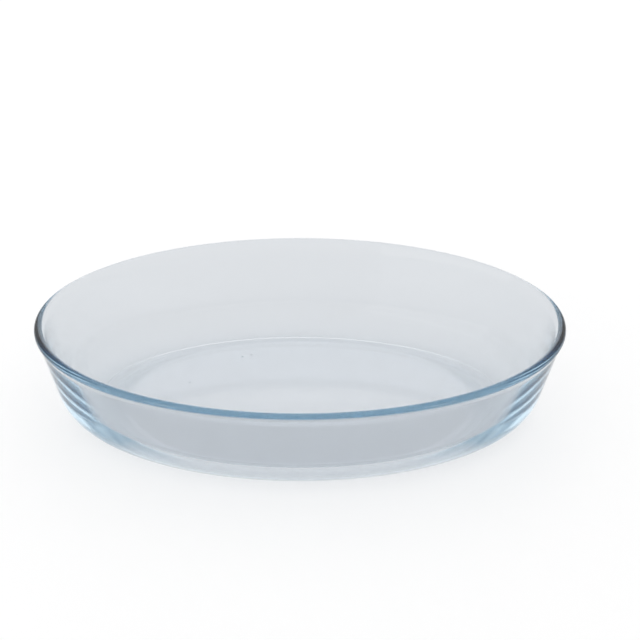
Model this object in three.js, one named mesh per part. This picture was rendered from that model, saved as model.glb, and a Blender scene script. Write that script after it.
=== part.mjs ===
// Oval baking dish of clear pressed glass: one piece, with a flared wall, a beaded rim and a flat base.
// Millimetres, +Z up. X runs along the dish, and the origin is under its middle, on the surface it stands on.
import * as THREE from 'three';

// Overall size, over the rim
const LENGTH = 350;
const WIDTH = 240;
const HEIGHT = 69.5;

// Wall and rim: the wall thickens downward, most at the two ends of the oval
const RIM_THICKNESS = 5.9;
const RIM_STAND_OUT = 1; // how far the bead of the rim stands out from the wall
const RIM_HOLLOW_RADIUS = 14; // hollow curve from the wall out to the bead
const OUTER_DRAFT = THREE.MathUtils.degToRad(14); // lean of the wall from upright
const INNER_DRAFT_SIDES = THREE.MathUtils.degToRad(14.6);
const INNER_DRAFT_ENDS = THREE.MathUtils.degToRad(19);

// Base
const FLOOR_THICKNESS = 5.6;
const OUTER_CORNER_RADIUS = 31;
const INNER_CORNER_RADIUS_SIDES = 30;
const INNER_CORNER_RADIUS_ENDS = 48;
const END_POWER = 4; // an even number: the higher, the closer to its ends the dish thickens

// Steps along the curves
const STEPS_ROUND_OVAL = 72;
const STEPS_OUTER_CORNER = 10;
const STEPS_INNER_CORNER = 10;
const STEPS_RIM_QUARTER = 4;
const STEPS_RIM_HOLLOW = 3;

const GLASS = new THREE.MeshStandardMaterial({
  color: 0xd9e6ee,
  roughness: 0.03,
  metalness: 0,
  transparent: true,
  opacity: 0.35,
});

// The section of the dish is drawn in insets, measured in from the rim's outline, and heights.
const QUARTER_TURN = Math.PI / 2;
const beadRadius = RIM_THICKNESS / 2;
const beadCentre = new THREE.Vector2(beadRadius, HEIGHT - beadRadius);

// Direction in the section: 0 is down, a quarter turn is outward, a half turn is up.
function direction(angle) {
  return new THREE.Vector2(-Math.sin(angle), -Math.cos(angle));
}

function arc(centre, radius, from, to, steps) {
  const points = [];
  for (let i = 0; i <= steps; i++) {
    const angle = THREE.MathUtils.lerp(from, to, i / steps);
    points.push(direction(angle).multiplyScalar(radius).add(centre));
  }
  return points;
}

// Inset, at a height, of the line that runs down from the bead at a draft, moved inward by a distance
function insetAlongWall(height, draft, inward) {
  const drop = beadCentre.y - height;
  return beadCentre.x + (drop * Math.sin(draft) + inward) / Math.cos(draft);
}

// Outer corner, from the outline of the flat base up to the wall
function outerCorner() {
  const inward = OUTER_CORNER_RADIUS - beadRadius + RIM_STAND_OUT;
  const inset = insetAlongWall(OUTER_CORNER_RADIUS, OUTER_DRAFT, inward);
  const centre = new THREE.Vector2(inset, OUTER_CORNER_RADIUS);
  return arc(centre, OUTER_CORNER_RADIUS, 0, QUARTER_TURN - OUTER_DRAFT, STEPS_OUTER_CORNER);
}

// Hollow curve under the rim, then the outer half of the bead up to its top
function outerRim() {
  const across = beadRadius - RIM_STAND_OUT + RIM_HOLLOW_RADIUS;
  const along = Math.sqrt((beadRadius + RIM_HOLLOW_RADIUS) ** 2 - across ** 2);
  const outward = direction(QUARTER_TURN - OUTER_DRAFT);
  const down = direction(-OUTER_DRAFT);
  const hollowCentre = beadCentre.clone().addScaledVector(outward, across).addScaledVector(down, along);
  const sweep = Math.atan2(along, across);
  const inwardAngle = 3 * QUARTER_TURN - OUTER_DRAFT;
  const beadAngle = inwardAngle - sweep - 2 * QUARTER_TURN;
  return [
    ...arc(hollowCentre, RIM_HOLLOW_RADIUS, inwardAngle, inwardAngle - sweep, STEPS_RIM_HOLLOW),
    ...arc(beadCentre, beadRadius, beadAngle, QUARTER_TURN, STEPS_RIM_QUARTER).slice(1),
    ...arc(beadCentre, beadRadius, QUARTER_TURN, 2 * QUARTER_TURN, STEPS_RIM_QUARTER).slice(1),
  ];
}

// Inside of the dish from the top of the bead down to the outline of the floor; endShare is 1 at the oval's two
// ends and 0 at its two sides
function inside(endShare) {
  const draft = THREE.MathUtils.lerp(INNER_DRAFT_SIDES, INNER_DRAFT_ENDS, endShare);
  const radius = THREE.MathUtils.lerp(INNER_CORNER_RADIUS_SIDES, INNER_CORNER_RADIUS_ENDS, endShare);
  const height = FLOOR_THICKNESS + radius;
  const centre = new THREE.Vector2(insetAlongWall(height, draft, beadRadius + radius), height);
  return [
    ...arc(beadCentre, beadRadius, 2 * QUARTER_TURN, 3 * QUARTER_TURN - draft, STEPS_RIM_QUARTER).slice(1),
    ...arc(centre, radius, QUARTER_TURN - draft, 0, STEPS_INNER_CORNER),
  ];
}

// The section carried round the oval: every ring is an ellipse, inset alike from the length and the width
function ovalDish() {
  const outside = [...outerCorner(), ...outerRim()];
  const positions = [0, 0, 0, 0, 0, FLOOR_THICKNESS];
  for (let j = 0; j < STEPS_ROUND_OVAL; j++) {
    const turn = (4 * QUARTER_TURN * j) / STEPS_ROUND_OVAL;
    const endShare = Math.cos(turn) ** END_POWER;
    for (const { x: inset, y: height } of [...outside, ...inside(endShare)]) {
      positions.push((LENGTH / 2 - inset) * Math.cos(turn), (WIDTH / 2 - inset) * Math.sin(turn), height);
    }
  }

  const sectionCount = (positions.length / 3 - 2) / STEPS_ROUND_OVAL;
  const faces = [];
  for (let j = 0; j < STEPS_ROUND_OVAL; j++) {
    const here = 2 + j * sectionCount;
    const next = 2 + ((j + 1) % STEPS_ROUND_OVAL) * sectionCount;
    const last = sectionCount - 1;
    faces.push(0, next, here);
    for (let i = 0; i < last; i++) {
      faces.push(here + i, next + i, next + i + 1);
      faces.push(here + i, next + i + 1, here + i + 1);
    }
    faces.push(1, here + last, next + last);
  }

  const geometry = new THREE.BufferGeometry();
  geometry.setAttribute('position', new THREE.Float32BufferAttribute(positions, 3));
  geometry.setIndex(faces);
  geometry.computeVertexNormals();
  return geometry;
}

const dish = new THREE.Mesh(ovalDish(), GLASS);
dish.name = 'glass_dish';

const bakingDish = new THREE.Group();
bakingDish.add(dish);

export default bakingDish;
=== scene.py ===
import math

import bpy
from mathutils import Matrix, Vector


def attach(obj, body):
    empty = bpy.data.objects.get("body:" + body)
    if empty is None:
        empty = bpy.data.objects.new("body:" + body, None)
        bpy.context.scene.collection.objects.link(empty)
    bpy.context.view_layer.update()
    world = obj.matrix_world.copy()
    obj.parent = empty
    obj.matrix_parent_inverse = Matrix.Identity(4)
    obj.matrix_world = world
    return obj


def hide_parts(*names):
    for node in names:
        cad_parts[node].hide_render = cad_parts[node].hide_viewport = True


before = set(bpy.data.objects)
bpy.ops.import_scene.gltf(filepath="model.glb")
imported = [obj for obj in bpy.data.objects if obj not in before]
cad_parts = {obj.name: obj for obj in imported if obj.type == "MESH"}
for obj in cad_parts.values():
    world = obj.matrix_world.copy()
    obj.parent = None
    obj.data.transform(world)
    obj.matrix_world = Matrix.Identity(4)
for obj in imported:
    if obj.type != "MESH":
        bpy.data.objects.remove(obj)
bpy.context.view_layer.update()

scene = bpy.context.scene
MM = 0.001
QUARTER = math.pi / 2

# Sizes of the dish in millimetres, as in the part's source
LENGTH, WIDTH, HEIGHT = 350.0, 240.0, 69.5
RIM_THICKNESS = 5.9
RIM_STAND_OUT = 1.0
RIM_HOLLOW_RADIUS = 14.0
OUTER_DRAFT = math.radians(14.0)
INNER_DRAFT_SIDES = math.radians(14.6)
INNER_DRAFT_ENDS = math.radians(19.0)
FLOOR_THICKNESS = 5.6
OUTER_CORNER_RADIUS = 31.0
INNER_CORNER_RADIUS_SIDES = 30.0
INNER_CORNER_RADIUS_ENDS = 48.0
END_POWER = 4.0
BEAD_RADIUS = RIM_THICKNESS / 2
BEAD_CENTRE = Vector((BEAD_RADIUS, HEIGHT - BEAD_RADIUS))

# Fine groove round the inside, where the floor begins
LINE_INSET_SIDES = 38.4
LINE_INSET_ENDS = 41.0
LINE_DEPTH_SIDES = 0.497
LINE_DEPTH_ENDS = 0.43
LINE_WIDTH = 0.3
LINE_REACH = 3  # widths from the groove's middle to where it has run out

# Seeds, which are small gas bubbles in the floor: x, y, z and half the width
SEEDS = (
    (-41.5, 57.5, 2.6, 0.55),
    (-35.0, 59.6, 3.1, 0.52),
    (-77.0, 22.5, 2.9, 0.5),
    (58.0, -34.0, 3.3, 0.3),
)
SEED_LENGTH = 1.5  # against its width
SEED_HEIGHT = 0.8  # against its width

# Steps along the curves
STEPS_ROUND_OVAL = 432
STEPS_OUTER_CORNER = 44
STEPS_OUTER_WALL = 14
STEPS_RIM_HOLLOW = 10
STEPS_BEAD_OUTSIDE = 12
STEPS_BEAD_TOP = 14
STEPS_BEAD_INSIDE = 16
STEPS_INNER_WALL = 16
STEPS_INNER_CORNER = 34
STEPS_LINE = 12
STEPS_BELOW_LINE = 14
STEPS_SEED_TILT = 8
STEPS_ROUND_SEED = 14
FLAT_INSETS = (1, 2.5, 5, 9, 15, 24, 36)  # rings in the flat base and floor, in from the corners

# Glass; the floor's finish gives way to the wall's between two heights in metres
REFRACTION = 1.474
SURFACE_TINT = (0.752, 0.771, 0.797, 1)
DEPTH_TINT = (0.14, 0.48, 0.65, 1)
DEPTH_DENSITY = 5.4
FLOOR_ROUGHNESS = 0.2
WALL_ROUGHNESS = 0.1
FLOOR_FINISH_TOP = 0.0058
WALL_FINISH_START = 0.0075
POLISH_SCALE = 55.0
WAVE_SCALE = 38.0
WAVE_HEIGHT = 0.00002

# White room and paper floor, in metres
PAPER = (0.95, 0.95, 0.95, 1)
WHITE = (1, 1, 1, 1)
PAPER_WHITENING = 0.35  # share of plain white in what is seen of the paper
PAPER_HALF = 20.0
PAPER_Z = -0.0002
WALL_LEVEL = 0.7
WALL_TOP = 0.2  # sine of the angle up to which the walls are even
CEILING_LEVEL = 1.22

# Camera; the picture's size, focal length and optical centre are in pixels
PICTURE = 640
FOCAL_LENGTH = 1419.0
OPTICAL_CENTRE_X = 300
OPTICAL_CENTRE_Y = 361.9
SENSOR_WIDTH = 36
ELEVATION = math.radians(31.16)
DISTANCE = 0.955

# Light in the glass is followed far enough for the long ways round the rim
GLASS_BOUNCES = 64
DIFFUSE_BOUNCES = 6


# The section is drawn in insets, measured in from the rim's outline, and heights.
def direction(angle):
    """Direction in the section: 0 is down, a quarter turn is outward, a half turn is up."""
    return Vector((-math.sin(angle), -math.cos(angle)))


def arc(centre, radius, start, end, steps):
    return [centre + radius * direction(start + (end - start) * i / steps) for i in range(steps + 1)]


def between(a, b, steps):
    """Points along a straight line, without its two ends."""
    return [a.lerp(b, i / steps) for i in range(1, steps)]


def blend(sides, ends, end_share):
    return sides + (ends - sides) * end_share


def inset_along_wall(height, draft, inward):
    """Inset, at a height, of the line down from the bead at a draft, moved inward by a distance."""
    drop = BEAD_CENTRE.y - height
    return BEAD_CENTRE.x + (drop * math.sin(draft) + inward) / math.cos(draft)


def outside():
    """Outer side of the section, from the flat base up to the top of the bead."""
    inward = OUTER_CORNER_RADIUS - BEAD_RADIUS + RIM_STAND_OUT
    centre = Vector((inset_along_wall(OUTER_CORNER_RADIUS, OUTER_DRAFT, inward), OUTER_CORNER_RADIUS))
    corner = arc(centre, OUTER_CORNER_RADIUS, 0, QUARTER - OUTER_DRAFT, STEPS_OUTER_CORNER)
    across = BEAD_RADIUS - RIM_STAND_OUT + RIM_HOLLOW_RADIUS
    along = math.sqrt((BEAD_RADIUS + RIM_HOLLOW_RADIUS) ** 2 - across ** 2)
    outward = direction(QUARTER - OUTER_DRAFT)
    down = direction(-OUTER_DRAFT)
    hollow_centre = BEAD_CENTRE + outward * across + down * along
    sweep = math.atan2(along, across)
    inward_angle = 3 * QUARTER - OUTER_DRAFT
    hollow = arc(hollow_centre, RIM_HOLLOW_RADIUS, inward_angle, inward_angle - sweep, STEPS_RIM_HOLLOW)
    bead_angle = inward_angle - sweep - 2 * QUARTER
    bead = arc(BEAD_CENTRE, BEAD_RADIUS, bead_angle, QUARTER, STEPS_BEAD_OUTSIDE)[1:]
    bead += arc(BEAD_CENTRE, BEAD_RADIUS, QUARTER, 2 * QUARTER, STEPS_BEAD_TOP)[1:]
    base = [Vector((corner[0].x + inset, 0)) for inset in reversed(FLAT_INSETS)]
    return base + corner + between(corner[-1], hollow[0], STEPS_OUTER_WALL) + hollow + bead


def inside(end_share):
    """Inner side of the section, from the top of the bead to the floor; end_share is 1 at the oval's ends."""
    draft = blend(INNER_DRAFT_SIDES, INNER_DRAFT_ENDS, end_share)
    radius = blend(INNER_CORNER_RADIUS_SIDES, INNER_CORNER_RADIUS_ENDS, end_share)
    line_inset = blend(LINE_INSET_SIDES, LINE_INSET_ENDS, end_share)
    line_depth = blend(LINE_DEPTH_SIDES, LINE_DEPTH_ENDS, end_share)
    height = FLOOR_THICKNESS + radius
    centre = Vector((inset_along_wall(height, draft, BEAD_RADIUS + radius), height))
    bead = arc(BEAD_CENTRE, BEAD_RADIUS, 2 * QUARTER, 3 * QUARTER - draft, STEPS_BEAD_INSIDE)[1:]
    line_angle = math.asin((centre.x - line_inset) / radius)
    reach = LINE_REACH * LINE_WIDTH / radius
    upper = arc(centre, radius, QUARTER - draft, line_angle + reach, STEPS_INNER_CORNER)
    line = []
    for i in range(1, STEPS_LINE):
        offset = 1 - 2 * i / STEPS_LINE
        depth = line_depth * math.exp(-(LINE_REACH * offset) ** 2)
        line.append(centre + (radius + depth) * direction(line_angle + reach * offset))
    lower = arc(centre, radius, line_angle - reach, 0, STEPS_BELOW_LINE)
    floor = [Vector((lower[-1].x + inset, FLOOR_THICKNESS)) for inset in FLAT_INSETS]
    return bead + between(bead[-1], upper[0], STEPS_INNER_WALL) + upper + line + lower + floor


def seed(centre, radius):
    """A small gas bubble in the glass, longer than wide, whose faces look into the bubble."""
    top = Vector((0, 0, radius * SEED_HEIGHT))
    points = [centre + top, centre - top]
    for i in range(1, STEPS_SEED_TILT):
        tilt = math.pi * i / STEPS_SEED_TILT
        flat = radius * math.sin(tilt)
        z = SEED_HEIGHT * radius * math.cos(tilt)
        for j in range(STEPS_ROUND_SEED):
            turn = 4 * QUARTER * j / STEPS_ROUND_SEED
            x = SEED_LENGTH * flat * math.cos(turn)
            y = flat * math.sin(turn)
            points.append(centre + Vector((x, y, z)))
    faces = []
    last = 2 + (STEPS_SEED_TILT - 2) * STEPS_ROUND_SEED
    for j in range(STEPS_ROUND_SEED):
        k = (j + 1) % STEPS_ROUND_SEED
        faces.append((0, 2 + k, 2 + j))
        for upper in range(2, last, STEPS_ROUND_SEED):
            lower = upper + STEPS_ROUND_SEED
            faces.append((upper + j, upper + k, lower + k, lower + j))
        faces.append((1, last + j, last + k))
    return points, faces


def dish_mesh():
    """The section carried round the oval: every ring is an ellipse, inset alike from length and width."""
    outer = outside()
    points = [Vector((0, 0, 0)), Vector((0, 0, FLOOR_THICKNESS))]
    for j in range(STEPS_ROUND_OVAL):
        turn = 4 * QUARTER * j / STEPS_ROUND_OVAL
        for inset, height in outer + inside(abs(math.cos(turn)) ** END_POWER):
            x = (LENGTH / 2 - inset) * math.cos(turn)
            y = (WIDTH / 2 - inset) * math.sin(turn)
            points.append(Vector((x, y, height)))
    faces = []
    count = (len(points) - 2) // STEPS_ROUND_OVAL
    last = count - 1
    for j in range(STEPS_ROUND_OVAL):
        here = 2 + j * count
        following = 2 + (j + 1) % STEPS_ROUND_OVAL * count
        faces.append((0, following, here))
        for i in range(last):
            faces.append((here + i, following + i, following + i + 1, here + i + 1))
        faces.append((1, here + last, following + last))
    for x, y, z, radius in SEEDS:
        bubble_points, bubble_faces = seed(Vector((x, y, z)), radius)
        shift = len(points)
        points += bubble_points
        faces += [tuple(shift + k for k in face) for face in bubble_faces]
    mesh = bpy.data.meshes.new("glass_dish_body")
    mesh.from_pydata([p * MM for p in points], [], faces)
    mesh.shade_smooth()
    return mesh


def empty_tree(owner):
    """Node tree of a material or world, with nothing in it."""
    owner.use_nodes = True
    tree = owner.node_tree
    tree.nodes.clear()
    return tree


def add(tree, kind, **inputs):
    """A node with constant inputs, whose names have underscores for spaces."""
    node = tree.nodes.new(kind)
    for name, value in inputs.items():
        node.inputs[name.replace("_", " ")].default_value = value
    return node


def calculate(tree, operation, first, second):
    """A Math node on two outputs."""
    node = add(tree, "ShaderNodeMath")
    node.operation = operation
    tree.links.new(first, node.inputs[0])
    tree.links.new(second, node.inputs[1])
    return node


def glass_material():
    """Clear glass: blue along long paths, soft waves, and a floor less polished than the wall."""
    material = bpy.data.materials.new("clear_pressed_glass")
    tree = empty_tree(material)
    link = tree.links.new
    output = add(tree, "ShaderNodeOutputMaterial")
    shader = add(tree, "ShaderNodeBsdfPrincipled", Base_Color=SURFACE_TINT, IOR=REFRACTION,
                 Transmission_Weight=1.0)
    place = add(tree, "ShaderNodeTexCoord")

    polish = add(tree, "ShaderNodeTexNoise", Scale=POLISH_SCALE, Detail=4.0, Roughness=0.6)
    link(place.outputs["Object"], polish.inputs["Vector"])
    axes = add(tree, "ShaderNodeSeparateXYZ")
    link(place.outputs["Object"], axes.inputs["Vector"])
    finish = add(tree, "ShaderNodeMapRange", From_Min=FLOOR_FINISH_TOP, From_Max=WALL_FINISH_START,
                 To_Min=FLOOR_ROUGHNESS, To_Max=WALL_ROUGHNESS)
    finish.interpolation_type = "SMOOTHSTEP"
    link(axes.outputs["Z"], finish.inputs["Value"])
    roughness = calculate(tree, "MULTIPLY", polish.outputs["Fac"], finish.outputs["Result"])
    link(roughness.outputs[0], shader.inputs["Roughness"])

    waves = add(tree, "ShaderNodeTexNoise", Scale=WAVE_SCALE, Detail=1.0, Roughness=0.4)
    link(place.outputs["Object"], waves.inputs["Vector"])
    bump = add(tree, "ShaderNodeBump", Strength=1.0, Distance=WAVE_HEIGHT)
    link(waves.outputs["Fac"], bump.inputs["Height"])
    link(bump.outputs["Normal"], shader.inputs["Normal"])

    depth = add(tree, "ShaderNodeVolumeAbsorption", Color=DEPTH_TINT, Density=DEPTH_DENSITY)
    link(shader.outputs["BSDF"], output.inputs["Surface"])
    link(depth.outputs["Volume"], output.inputs["Volume"])
    return material


def floor_material():
    """White paper that takes the dish's shadow and is shown a little lighter than it is lit."""
    material = bpy.data.materials.new("white_floor")
    tree = empty_tree(material)
    link = tree.links.new
    output = add(tree, "ShaderNodeOutputMaterial")
    paper = add(tree, "ShaderNodeBsdfDiffuse", Color=PAPER)
    white = add(tree, "ShaderNodeEmission", Color=WHITE, Strength=1.0)
    path = add(tree, "ShaderNodeLightPath")
    direct = calculate(tree, "ADD", path.outputs["Is Camera Ray"], path.outputs["Is Glossy Ray"])
    seen = calculate(tree, "ADD", direct.outputs[0], path.outputs["Is Transmission Ray"])
    seen.use_clamp = True
    share = add(tree, "ShaderNodeMath")
    share.operation = "MULTIPLY"
    share.inputs[1].default_value = PAPER_WHITENING
    link(seen.outputs[0], share.inputs[0])
    mix = add(tree, "ShaderNodeMixShader")
    link(share.outputs[0], mix.inputs["Fac"])
    link(paper.outputs["BSDF"], mix.inputs[1])
    link(white.outputs["Emission"], mix.inputs[2])
    link(mix.outputs["Shader"], output.inputs["Surface"])
    return material


def stage_card(name, corners, material):
    mesh = bpy.data.meshes.new(name)
    mesh.from_pydata(corners, [], [(0, 1, 2, 3)])
    mesh.materials.append(material)
    card = bpy.data.objects.new(name, mesh)
    scene.collection.objects.link(card)


def soft_panel(name, place, aim, width, height, level):
    """A diffuser of even brightness."""
    lamp = bpy.data.lights.new(name, "AREA")
    lamp.shape = "RECTANGLE"
    lamp.size = width
    lamp.size_y = height
    lamp.energy = level * math.pi * width * height
    panel = bpy.data.objects.new(name, lamp)
    panel.location = place
    panel.rotation_euler = (Vector(aim) - Vector(place)).to_track_quat("-Z", "Y").to_euler()
    panel.visible_camera = False
    scene.collection.objects.link(panel)


def studio_world():
    """White room, lighter overhead than along the walls, which the camera sees as plain white."""
    world = bpy.data.worlds.new("studio")
    scene.world = world
    tree = empty_tree(world)
    link = tree.links.new
    output = add(tree, "ShaderNodeOutputWorld")
    background = add(tree, "ShaderNodeBackground", Strength=1.0)
    place = add(tree, "ShaderNodeTexCoord")
    axes = add(tree, "ShaderNodeSeparateXYZ")
    link(place.outputs["Generated"], axes.inputs["Vector"])
    level = add(tree, "ShaderNodeMapRange", From_Min=WALL_TOP, From_Max=1.0, To_Min=WALL_LEVEL,
                To_Max=CEILING_LEVEL)
    link(axes.outputs["Z"], level.inputs["Value"])
    path = add(tree, "ShaderNodeLightPath")
    shown = calculate(tree, "MAXIMUM", level.outputs["Result"], path.outputs["Is Camera Ray"])
    link(shown.outputs[0], background.inputs["Color"])
    link(background.outputs["Background"], output.inputs["Surface"])


# Camera on the dish's short axis
camera_data = bpy.data.cameras.new("camera")
camera_data.sensor_width = SENSOR_WIDTH
camera_data.lens = FOCAL_LENGTH * SENSOR_WIDTH / PICTURE
camera_data.shift_x = (PICTURE / 2 - OPTICAL_CENTRE_X) / PICTURE
camera_data.shift_y = (OPTICAL_CENTRE_Y - PICTURE / 2) / PICTURE
camera = bpy.data.objects.new("camera", camera_data)
camera.location = (0, -DISTANCE * math.cos(ELEVATION), HEIGHT / 2 * MM + DISTANCE * math.sin(ELEVATION))
camera.rotation_euler = (QUARTER - ELEVATION, 0, 0)
scene.collection.objects.link(camera)
scene.camera = camera

# The dish
dish = bpy.data.objects.new("pressed_glass_dish", dish_mesh())
dish.data.materials.append(glass_material())
scene.collection.objects.link(dish)
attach(dish, "root")
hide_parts("glass_dish")

# Floor and light
quarters = ((-1, -1), (1, -1), (1, 1), (-1, 1))
stage_card("floor", [(x * PAPER_HALF, y * PAPER_HALF, PAPER_Z) for x, y in quarters], floor_material())
soft_panel("back_panel", place=(0, 2.0, 0.66), aim=(0, 0, 0.66), width=1.7, height=1.3, level=1.0)
soft_panel("window_panel", place=(-1.5, -1.1, 0.7), aim=(0, 0, 0.05), width=2.4, height=1.4, level=0.35)
studio_world()

scene.cycles.max_bounces = GLASS_BOUNCES
scene.cycles.transmission_bounces = GLASS_BOUNCES
scene.cycles.glossy_bounces = GLASS_BOUNCES
scene.cycles.diffuse_bounces = DIFFUSE_BOUNCES
scene.cycles.blur_glossy = 0.0
scene.view_settings.view_transform = "Standard"
